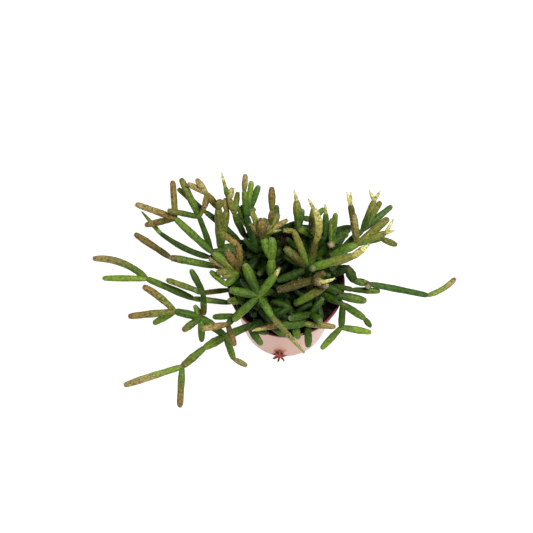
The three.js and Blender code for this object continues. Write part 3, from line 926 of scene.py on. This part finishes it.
def placed(name, data):
    """A new object with this data, in the scene."""
    made = bpy.data.objects.new(name, data)
    scene.collection.objects.link(made)
    return made


def piece(mesh, name, materials, slot, *nodes):
    """Puts a finished mesh in metres, and stands it for its CAD nodes."""
    mesh.transform(Matrix.Scale(MM, 4))
    mesh.name = name
    mesh.materials.clear()
    for material in materials:
        mesh.materials.append(material)
    made = placed(name, mesh)
    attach(made, "root")
    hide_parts(*nodes)


def set_attribute(mesh, name, values):
    """Gives each vertex a number or a colour."""
    kind, field = "FLOAT", "value"
    if values.ndim == 2:
        kind, field = "FLOAT_COLOR", "color"
        values = np.hstack([values, np.ones((len(values), 1))])
    layer = mesh.attributes.get(name) or mesh.attributes.new(name, kind, "POINT")
    layer.data.foreach_set(field, values.astype(np.float32).ravel())


def places_of(mesh):
    places = np.empty(len(mesh.vertices) * 3)
    mesh.vertices.foreach_get("co", places)
    return places.reshape(-1, 3)


def add_shape(bm, mesh, places):
    """Adds a mesh with its vertices at these places."""
    mesh.vertices.foreach_set("co", places.ravel())
    bm.from_mesh(mesh, face_normals=False, vertex_normals=False)


def turned(profile, steps):
    """A closed bmesh turned round the Z axis from a line of (radius, height)."""
    bm = bmesh.new()
    line = [bm.verts.new((radius, 0, height)) for radius, height in profile]
    edges = [bm.edges.new(pair) for pair in zip(line, line[1:])]
    bmesh.ops.spin(
        bm, geom=line + edges, cent=(0, 0, 0), axis=(0, 0, 1), angle=FULL_TURN,
        steps=steps, use_merge=True,
    )
    bmesh.ops.remove_doubles(bm, verts=bm.verts, dist=1e-4)
    bmesh.ops.recalc_face_normals(bm, faces=bm.faces)
    return bm


def add_cone(bm, steps, radii, length, matrix):
    return bmesh.ops.create_cone(
        bm, cap_ends=True, segments=steps, radius1=radii[0], radius2=radii[1],
        depth=length, matrix=matrix,
    )


# ---- A stem's shape ----

RIBS = 8
STEM_STEPS = 32
PLAIN_STEPS = 12
ROOT_END_STEPS = 8
FOOT_RINGS = 4
BELLY_RINGS = 9
TIP_TURNS = np.radians([20, 40, 58, 75])
RINGS = FOOT_RINGS + BELLY_RINGS + len(TIP_TURNS)
FOOT_DEPTH = 7.0


def smooth(values):
    values = np.clip(values, 0, 1)
    return values * values * (3 - 2 * values)


def stem_side(stem, pointed, end_share, chance):
    """The heights and radii of a stem's rings. A pointed shoot tapers all along, and any other
    stem to a share of its width. The chance, 0 to 1, makes each its own."""
    length, radius = stem.length, stem.radius
    foot = min(2.2 * radius, 0.3 * length)
    sunk = FOOT_DEPTH if stem.buried else min(0.6 * radius, 0.3 * length)
    top = length + 0.3 * radius
    share = np.linspace(0, 1, BELLY_RINGS)
    if pointed:
        neck = np.array([0.0, 1.0, 1.15, 1.2])
        swell = 1.2 - 0.35 * share - 0.45 * share ** 4
    else:
        neck = np.array([0.0, 0.5, 0.62, 0.84])
        swell = 0.95 + 0.12 * np.sin(math.pi * share ** (0.8 + chance)) - 0.04 * share
        swell *= 1 - (1 - end_share) * smooth((share - 0.3) / 0.7)
    swell *= 1 + 0.03 * np.sin(FULL_TURN * (share * (1 + 2 * chance) + chance))
    dome = min(1.6 * swell[-1] * radius, 0.4 * length)
    heights = [-sunk, -0.8 * sunk, 0.0, 0.45 * foot]
    heights += [*np.linspace(foot, top - dome, BELLY_RINGS)]
    heights += [*(top - dome + dome * np.sin(TIP_TURNS)), top]
    radii = radius * np.array([*neck, *swell, *(swell[-1] * np.cos(TIP_TURNS) ** 0.85), 0])
    return np.array(heights), radii


def bend(places, stem):
    """Moves points from a straight stem along Z to where they lie along its bow."""
    start, middle, end = stem.bow
    control = 2 * middle - (start + end) / 2
    t = np.clip(places[:, 2:] / stem.length, 0, 1)
    along = (1 - t) * (control - start) + t * (end - control)
    if stem.buried:
        along[t[:, 0] <= 0] = (0, 0, 1)
    along /= norm(along, axis=1)[:, None]
    chord = end - start
    side = np.array([-chord[1], chord[0], 0.01])
    side /= norm(side)
    across = side - (along @ side)[:, None] * along
    across /= norm(across, axis=1)[:, None]
    up = np.cross(along, across)
    on = (1 - t) ** 2 * start + 2 * t * (1 - t) * control + t * t * end
    beyond = places[:, 2:] - t * stem.length
    return on + beyond * along + places[:, :1] * across + places[:, 1:2] * up


class Blank:
    """A straight stem that is shaped and bent again and again. A ring's height is its number."""

    def __init__(self, steps):
        profile = [(0 if k in (0, RINGS) else 1, k) for k in range(RINGS + 1)]
        self.mesh = mesh_of(turned(profile, steps))
        places = places_of(self.mesh)
        self.ring = np.rint(places[:, 2]).astype(int)
        self.turn = np.arctan2(places[:, 1], places[:, 0])

    def add_to(self, bm, stem, out, angle, height):
        places = np.stack([out * np.cos(angle), out * np.sin(angle), height], 1)
        add_shape(bm, self.mesh, bend(places, stem))


# ---- A spray, with its skins and tufts ----

STEM_SEED = 700
AREOLE_SPACING = 5.0
CUSHION_RADIUS = 0.42
CUSHION_HEIGHT = 0.5
BRISTLE_RADIUS = 0.075
BRISTLE_LENGTH = 1.5
# Which way each bristle leans, and how far
BRISTLES = ((0.4, 0.75), (2.6, 0.6), (4.5, 0.85))
WOOL_REACH = 0.43
TIP_TUFT = 1.5
WOOL = linear(214, 206, 176)
BRISTLE = linear(196, 180, 130)
JOINT = linear(88, 80, 44)
DRY_TIP = linear(96, 62, 40)
SHOOT_TIP = linear(188, 188, 124)
SHOOT_WIDTH = 5.5

# Painted shade darkens a stem deep in the bush: its share of light grows from the heart of the bush,
# at SHADE_START, to the outside, at SHADE_END
CROWN_HEIGHT = 105
CROWN_REACH = 75
SHADE_START = 0.12
SHADE_END = 0.8
SHADE_POWER = 1.3
DEEPEST_SHADE = 0.08
# Short filling stems get more painted shade, and the painted shade is greener than the skin
FILLER_SHADE = 0.6
SHADE_HUE = np.array([1.2, 1.0, 1.1])


def blank_tuft():
    """A low cushion of wool with three bristles, on the skin at z 0."""
    bm = bmesh.new()
    add_cone(bm, 5, (CUSHION_RADIUS, 0), CUSHION_HEIGHT, Matrix.Translation((0, 0, 0.05)))
    for turn, lean in BRISTLES:
        tilt = Matrix.Rotation(turn, 4, "Z") @ Matrix.Rotation(lean, 4, "X")
        at = tilt @ Matrix.Translation((0, 0, BRISTLE_LENGTH / 2))
        add_cone(bm, 3, (BRISTLE_RADIUS, 0), BRISTLE_LENGTH, at)
    return mesh_of(bm)


def along_skin(look, which, share):
    """A value of the skins at each share of a stem's length, from its base's to its tip's."""
    return SKINS[look[0]][which] * (1 - share) + SKINS[look[1]][which] * share


class SprayMaker:
    """Shapes the stems of a spray one by one, with their tufts, and joins them in a mesh."""

    def __init__(self, plant):
        self.plant = plant
        self.ribbed, self.plain = Blank(STEM_STEPS), Blank(PLAIN_STEPS)
        self.tuft = blank_tuft()
        self.tuft_places = places_of(self.tuft)
        self.wool = np.abs(self.tuft_places[:, :2]).max(1) < WOOL_REACH
        for name in ("skin", "warts", "rib"):
            set_attribute(self.tuft, name, np.zeros(len(self.tuft_places)))

    def add_stem(self, bm, number):
        plant = self.plant
        draw = np.random.default_rng(STEM_SEED + number)
        bow, radius = plant.points[plant.triples[number]], plant.radii[number]
        look = plant.looks[number]
        length = norm(bow[1] - bow[0]) + norm(bow[2] - bow[1])
        borne = np.nonzero(plant.triples[:, 0] == plant.triples[number, 2])[0]
        stem = SimpleNamespace(
            bow=bow, length=length, radius=radius, look=look, bears=len(borne) > 0,
            buried=plant.carried[number] < 0, filler=number >= plant.planned,
            shoot=look == "yy" and radius < SHOOT_WIDTH / 2,
        )
        end_share = 1.0
        if len(borne) == 1 and plant.radii[borne[0]] < POINTED / 2 and plant.looks[borne[0]] != "yy":
            end_share = 1.3 * plant.radii[borne[0]] / radius
        pointed = stem.shoot or radius < POINTED / 2
        stem.heights, stem.radii = stem_side(stem, pointed, end_share, draw.random())
        stem.twist, stem.phase = draw.uniform(-0.02, 0.02), draw.uniform(0, FULL_TURN)
        # Painted shade: the stem's colour is darkened by its depth in the bush
        stem.shade = (self.shade(bow) * (FILLER_SHADE if stem.filler else 1)) ** SHADE_HUE

        blank = self.plain if stem.filler else self.ribbed
        height, out = stem.heights[blank.ring], stem.radii[blank.ring]
        warts = along_skin(look, 1, np.clip(height / length, 0, 1)) * (not stem.filler)
        crest = np.cos(RIBS * blank.turn)
        depth = 0.03 + 0.02 * warts
        wobble = 1 + 0.03 * np.sin(height * 0.35 + stem.phase)
        set_attribute(blank.mesh, "tint", self.skin_colour(stem, height, draw))
        set_attribute(blank.mesh, "skin", np.ones(len(height)))
        set_attribute(blank.mesh, "warts", warts * smooth(out / radius * 2 - 1))
        set_attribute(blank.mesh, "rib", crest)
        angle = blank.turn + stem.phase + stem.twist * height
        blank.add_to(bm, stem, out * wobble * (1 + depth * (crest - 0.4)), angle, height)
        self.add_tufts(bm, stem, draw)

    def shade(self, bow):
        """Painted shade for skin deep in the bush: 1 at its outside."""
        height, across = bow[1][2], math.hypot(*bow[1][:2])
        out = (height - SOIL_LEVEL) / CROWN_HEIGHT + (across / CROWN_REACH) ** 2
        share = np.clip((out - SHADE_START) / (SHADE_END - SHADE_START), 0, 1)
        return max(DEEPEST_SHADE, share ** SHADE_POWER)

    def skin_colour(self, stem, height, draw):
        """The skin's colour at each of these heights along a stem."""
        look, share = stem.look, np.clip(height / stem.length, 0, 1)
        base, tip = SKINS[look[0]][0], SKINS[look[1]][0]
        start, span = (0.65, 0.3) if look[1] == "w" else (0.25, 0.6)
        mixed = smooth((share - start + draw.uniform(-0.1, 0.1)) / span)[:, None]
        colour = (base * (1 - mixed) + tip * mixed) * draw.uniform(0.85, 1.15)
        to_joint = np.clip(1 - np.abs(height) / (0.7 * stem.radius), 0, 1)[:, None]
        to_joint = to_joint * 0.5 * (not stem.shoot)
        colour = colour * (1 - to_joint) + JOINT * to_joint
        if stem.shoot:
            colour += smooth(2 * share - 0.6)[:, None] * (SHOOT_TIP - colour)
        elif not stem.filler and not stem.bears:
            to_tip = (height - (stem.length - 0.6 * stem.radius)) / (0.9 * stem.radius)
            last, strength = (DRY_TIP, 0.6) if look[1] in "onbp" else (WOOL, 0.15)
            colour += strength * smooth(to_tip)[:, None] * (last - colour)
        # The skin colour is darkened by the painted shade
        return colour * stem.shade

    def add_tufts(self, bm, stem, draw):
        """A tuft on each wart: on the crests of the ribs, at every second place in turn."""
        length, widest = stem.length, stem.radii.max()
        spots = [(rib, length + 0.05 * widest) for rib in range(RIBS)]
        if not stem.filler:
            for rib in range(RIBS):
                first = AREOLE_SPACING * (1.5 if rib % 2 else 1)
                spots += [(rib, at) for at in np.arange(first, length, AREOLE_SPACING)]
        rib, at = np.array(spots).T
        angle = FULL_TURN / RIBS * rib + stem.phase + stem.twist * at
        out = np.interp(at, stem.heights, stem.radii) * 1.03 - 0.05
        ahead, behind = (np.interp(at + step, stem.heights, stem.radii) for step in (0.4, -0.4))
        slope = (ahead - behind) / 0.8
        share = np.clip(at / length, 0, 1)
        bristle, wool = (along_skin(stem.look, which, share)[:, None] for which in (2, 3))
        upward = np.array([0, 0, 1])
        radial = np.stack([np.cos(angle), np.sin(angle), 0 * angle], 1)
        normal = radial - slope[:, None] * upward
        normal /= norm(normal, axis=1)[:, None]
        tangent = np.cross(upward, radial)
        axial = np.cross(normal, tangent)
        foot = radial * out[:, None] + upward * at[:, None]
        spin = draw.uniform(0, FULL_TURN, (len(spots), 1))
        x, y, z = self.tuft_places.T
        size = np.where(self.wool[None], wool, bristle)
        size = size * draw.uniform(0.4, 1.3, (len(spots), 1))
        size = size * np.where(at[:, None] > length, TIP_TUFT, 1) * min(1, widest / 2.4)
        turned_x = size * (x * np.cos(spin) - y * np.sin(spin))
        turned_y = size * (x * np.sin(spin) + y * np.cos(spin))
        places = (
            foot[:, None] + turned_x[..., None] * tangent[:, None]
            + turned_y[..., None] * axial[:, None] + (size * z)[..., None] * normal[:, None]
        )
        bent = bend(places.reshape(-1, 3), stem).reshape(places.shape)
        # The tufts take a milder share of the painted shade
        bright = (0.3 + 0.4 * SKINS[stem.look[1]][2]) * stem.shade ** 0.6
        colour = np.where(self.wool[:, None], WOOL, BRISTLE) * bright
        set_attribute(self.tuft, "tint", colour)
        for tuft in bent:
            add_shape(bm, self.tuft, tuft)

    def spray(self, number):
        bm = bmesh.new()
        for stem in np.nonzero(self.plant.owners == number)[0]:
            self.add_stem(bm, int(stem))
        return mesh_of(bm)


# ---- The pot ----

POT_STEPS = 144
DRAIN_STEPS = 32
LIP_WIDTH = 1.8
LIP_ROUND = 0.8


def cut(mesh, cutters):
    """The mesh with the cutters' shapes taken out of it."""
    whole = placed("whole", mesh)
    tools = [placed("cutter", cutter) for cutter in cutters]
    for tool in tools:
        modifier = whole.modifiers.new("cut", "BOOLEAN")
        modifier.operation = "DIFFERENCE"
        modifier.solver = "EXACT"
        modifier.object = tool
    graph = bpy.context.evaluated_depsgraph_get()
    made = bpy.data.meshes.new_from_object(whole.evaluated_get(graph))
    for thing in [whole, *tools]:
        bpy.data.objects.remove(thing)
    return made


def pot_mesh():
    under = POT_HEIGHT - BEAD_HEIGHT
    bead = RIM_RADIUS - LIP_WIDTH / 2
    rim = [(bead + LIP_WIDTH / 2 * math.cos(t), POT_HEIGHT - LIP_ROUND + LIP_ROUND * math.sin(t))
           for t in np.linspace(0, math.pi, 9)]
    wall = [(outside(h), h) for h in np.linspace(1.4, under - 0.6, 10)]
    lining = [(inside(h), h) for h in np.linspace(under - 1.4, FLOOR + 0.8, 10)]
    profile = [
        (0, 0), (BASE_RADIUS - 8, 0), (BASE_RADIUS - 1.4, 0), (BASE_RADIUS - 0.4, 0.35), *wall,
        (outside(under) + 0.3, under - 0.2), (RIM_RADIUS - 0.15, under + 0.35),
        (RIM_RADIUS, under + 0.8), *rim, (RIM_RADIUS - LIP_WIDTH, under + 0.2), *lining,
        (inside(FLOOR) - 0.8, FLOOR), (0, FLOOR),
    ]
    cutters = []
    for k in range(DRAIN_COUNT):
        angle = (k + 0.5) * FULL_TURN / DRAIN_COUNT
        bm = bmesh.new()
        at = Matrix.Translation((*polar(DRAIN_RING, angle), 0))
        add_cone(bm, DRAIN_STEPS, (DRAIN_RADIUS, DRAIN_RADIUS), 8, at)
        cutters.append(mesh_of(bm))
    bm = bmesh.new()
    at = Matrix.Rotation(SLOT_TURN, 4, "Z") @ Matrix.Translation((BASE_RADIUS, 0, SLOT_MIDDLE))
    at = at @ Matrix.Diagonal((10, SLOT_WIDTH, SLOT_HEIGHT, 1))
    bmesh.ops.create_cube(bm, size=1, matrix=at)
    cutters.append(mesh_of(bm))
    return cut(mesh_of(turned(profile, POT_STEPS)), cutters)


# ---- The soil ----

SOIL_SEED = 31
SOIL_STEPS = 150
SOIL_RINGS = 46
CRUMBS = 1100
GRIT = 60
# Where the soil is heaped against the wall: x, y, how far it spreads and how high
HEAP = (-2, 46, 9, 7)
# Pale dry twigs on the soil: x and y of both ends
TWIGS = [(-8.5, 44, -2, 38.5), (20, -30, 26, -27), (33, -28, 39, -30), (-38, 20, -33, 23)]
TWIG_LIFT = 1.6


def heave(x, y):
    """How far the soil's top stands above its level."""
    place = Vector((x, y, 0))
    swell = 0.9 * noise.noise(place / 17)
    lumps = 1.5 * noise.noise(place / 4.5 + Vector((7, 0, 0))) + 0.8 * noise.noise(place / 1.9)
    edge = min(1.0, max(0.0, (inside(SOIL_LEVEL) - math.hypot(x, y)) / 5))
    heap = math.exp(-((x - HEAP[0]) ** 2 + (y - HEAP[1]) ** 2) / HEAP[2] ** 2)
    return swell + lumps * (0.3 + 0.7 * edge) + HEAP[3] * heap


def on_soil(x, y, lift):
    return Vector((x, y, SOIL_LEVEL + heave(x, y) + lift))


def make_pale(made):
    """Gives a new shape's faces the second material."""
    for face in {face for vert in made["verts"] for face in vert.link_faces}:
        face.material_index = 1


def soil_mesh():
    """A heap with a crumbly top, crumbs of peat, pale grit and a few dry twigs."""
    top_radius = inside(SOIL_LEVEL) - 0.25
    top = [(top_radius * (1 - k / SOIL_RINGS), SOIL_LEVEL) for k in range(SOIL_RINGS + 1)]
    profile = [(0, FLOOR + FIT_GAP), (inside(FLOOR) - FIT_GAP, FLOOR + FIT_GAP), *top]
    bm = turned(profile, SOIL_STEPS)
    for vert in bm.verts:
        if vert.co.z > SOIL_LEVEL - 1:
            vert.co.z += heave(vert.co.x, vert.co.y)
    draw = np.random.default_rng(SOIL_SEED)
    for k in range(CRUMBS + GRIT):
        angle, across = draw.uniform(0, FULL_TURN), (top_radius - 1.5) * math.sqrt(draw.uniform(0, 1))
        x, y = polar(across, angle)
        size = draw.uniform(0.35, 1.5) ** 1.3 if k < CRUMBS else draw.uniform(0.45, 1.0)
        turn = Euler(draw.uniform(0, FULL_TURN, 3)).to_matrix().to_4x4()
        stretch = Matrix.Diagonal((*(size * draw.uniform(0.6, 1.25, 3)), 1))
        at = Matrix.Translation(on_soil(x, y, 0.25 * size)) @ turn @ stretch
        made = bmesh.ops.create_icosphere(bm, subdivisions=1, radius=1, matrix=at)
        for vert in made["verts"]:
            vert.co += Vector(draw.uniform(-0.16, 0.16, 3)) * size
        if k >= CRUMBS:
            make_pale(made)
    for x, y, far_x, far_y in TWIGS:
        start = on_soil(x, y, TWIG_LIFT)
        along = on_soil(far_x, far_y, TWIG_LIFT) - start
        at = Matrix.Translation(start + along / 2) @ along.to_track_quat("Z", "Y").to_matrix().to_4x4()
        make_pale(add_cone(bm, 7, (0.5, 0.35), along.length, at))
    return mesh_of(bm)


# ---- The root ends ----

ROOT_END_SEED = 5
# Where they reach from the slot's middle: aside, up and out of the wall
ROOT_ENDS = [
    (-6.5, 6, 1.5), (-4, 13, 1), (0.5, 19, 1), (4, 13, 1.5), (7, 7, 1.5), (2.5, 6, 3),
    (-6, -6, 2), (-1, -8, 4), (5.5, -7, 2), (-3, -1, 3),
]
ROOT_END_WIDTH = 1.8
SIDE_ENDS = 3


def root_ends_mesh():
    """Thin dry root ends, splayed over the wall from the slot."""
    chance = np.random.default_rng(ROOT_END_SEED)
    onward, upward = np.array([*polar(1, SLOT_TURN), 0]), np.array([0, 0, 1])
    aside = np.cross(upward, onward)
    foot = (inside(SLOT_MIDDLE) + ROOT_END_WIDTH / 2) * onward + SLOT_MIDDLE * upward
    blank = Blank(ROOT_END_STEPS)
    bm = bmesh.new()

    def add(start, end, width):
        length = norm(end - start)
        middle = (start + end) / 2 + 0.12 * length * (onward + chance.uniform(-0.6, 0.6, 3))
        bow = np.array([start, middle, end])
        stem = SimpleNamespace(bow=bow, length=length, radius=width / 2, buried=False)
        heights, radii = stem_side(stem, True, 1.0, chance.random())
        height, out = heights[blank.ring], radii[blank.ring]
        out = out * (1 + 0.2 * np.sin(3 * blank.turn + 2 * height))
        blank.add_to(bm, stem, out, blank.turn, height)

    for sideways, up, out in ROOT_ENDS:
        end = foot + sideways * aside + up * upward + (out + 1.5) * onward
        add(foot, end, ROOT_END_WIDTH)
        for _ in range(SIDE_ENDS):
            start = foot + (end - foot) * chance.uniform(0.45, 0.9)
            add(start, start + chance.uniform(-1.8, 1.8, 3) + (end - foot) * 0.2, 0.4 * ROOT_END_WIDTH)
    return mesh_of(bm)


# ---- The object ----

plant_sprays = read_sprays(PLANT) + inner_sprays()
plant = Plant(plant_sprays)
bend_clear(plant)
fill_in(plant, plant_sprays)

skin = cactus_skin()
maker = SprayMaker(plant)
for number, (name, *_) in enumerate(plant_sprays):
    piece(maker.spray(number), "stems_" + name, [skin], "stems", name)
piece(pot_mesh(), "nursery_pot", [pot_plastic()], "pot_plastic", "pot")
piece(soil_mesh(), "peat_soil", [peat(), grit()], "soil", "soil")
piece(root_ends_mesh(), "dry_root_ends", [dry_root()], "dry_roots", "root_ends")

# ---- The table, the light and the camera ----

bm = bmesh.new()
bmesh.ops.create_grid(bm, x_segments=1, y_segments=1, size=2.5)
table = placed("table", mesh_of(bm))
table.data.materials.append(table_top())

LIT_PLACE = Vector((0, 0, 0.1))


def area_light(name, place, size, power, colour):
    light = bpy.data.lights.new(name, "AREA")
    light.shape = "DISK"
    light.size = size
    light.energy = power
    light.color = colour
    made = placed(name, light)
    made.location = place
    made.rotation_euler = (Vector(place) - LIT_PLACE).to_track_quat("Z", "Y").to_euler()


area_light("window", (0.25, -0.22, 1.18), 0.4, 16, (1.0, 0.99, 0.97))
area_light("fill", (-0.7, 0.5, 0.9), 0.8, 1.5, (0.97, 0.98, 1.0))

# A plain dim room, a little lighter above
room = Finish("room", "worlds", "Generated")
rise = {"Value": room.parts()[2], "From Max": 0.8, "To Min": 0.07, "To Max": 0.16}
lit = {"Color": (1.0, 1.0, 1.0, 1.0), "Strength": room.node("MapRange", {}, rise)}
scene.world = room.shown("Background", lit, "OutputWorld")

scene.view_settings.view_transform = "Standard"
scene.view_settings.look = "None"

DISTANCE = 0.85
TARGET = Vector((-0.0174, 0.0142, 0.090))
camera = bpy.data.cameras.new("camera")
camera.lens = 64
camera.sensor_width = 36
viewer = placed("camera", camera)
viewer.location = TARGET + DISTANCE * Vector((0, -math.cos(ELEVATION), math.sin(ELEVATION)))
viewer.rotation_euler = (math.pi / 2 - ELEVATION, 0, 0)
scene.camera = viewer
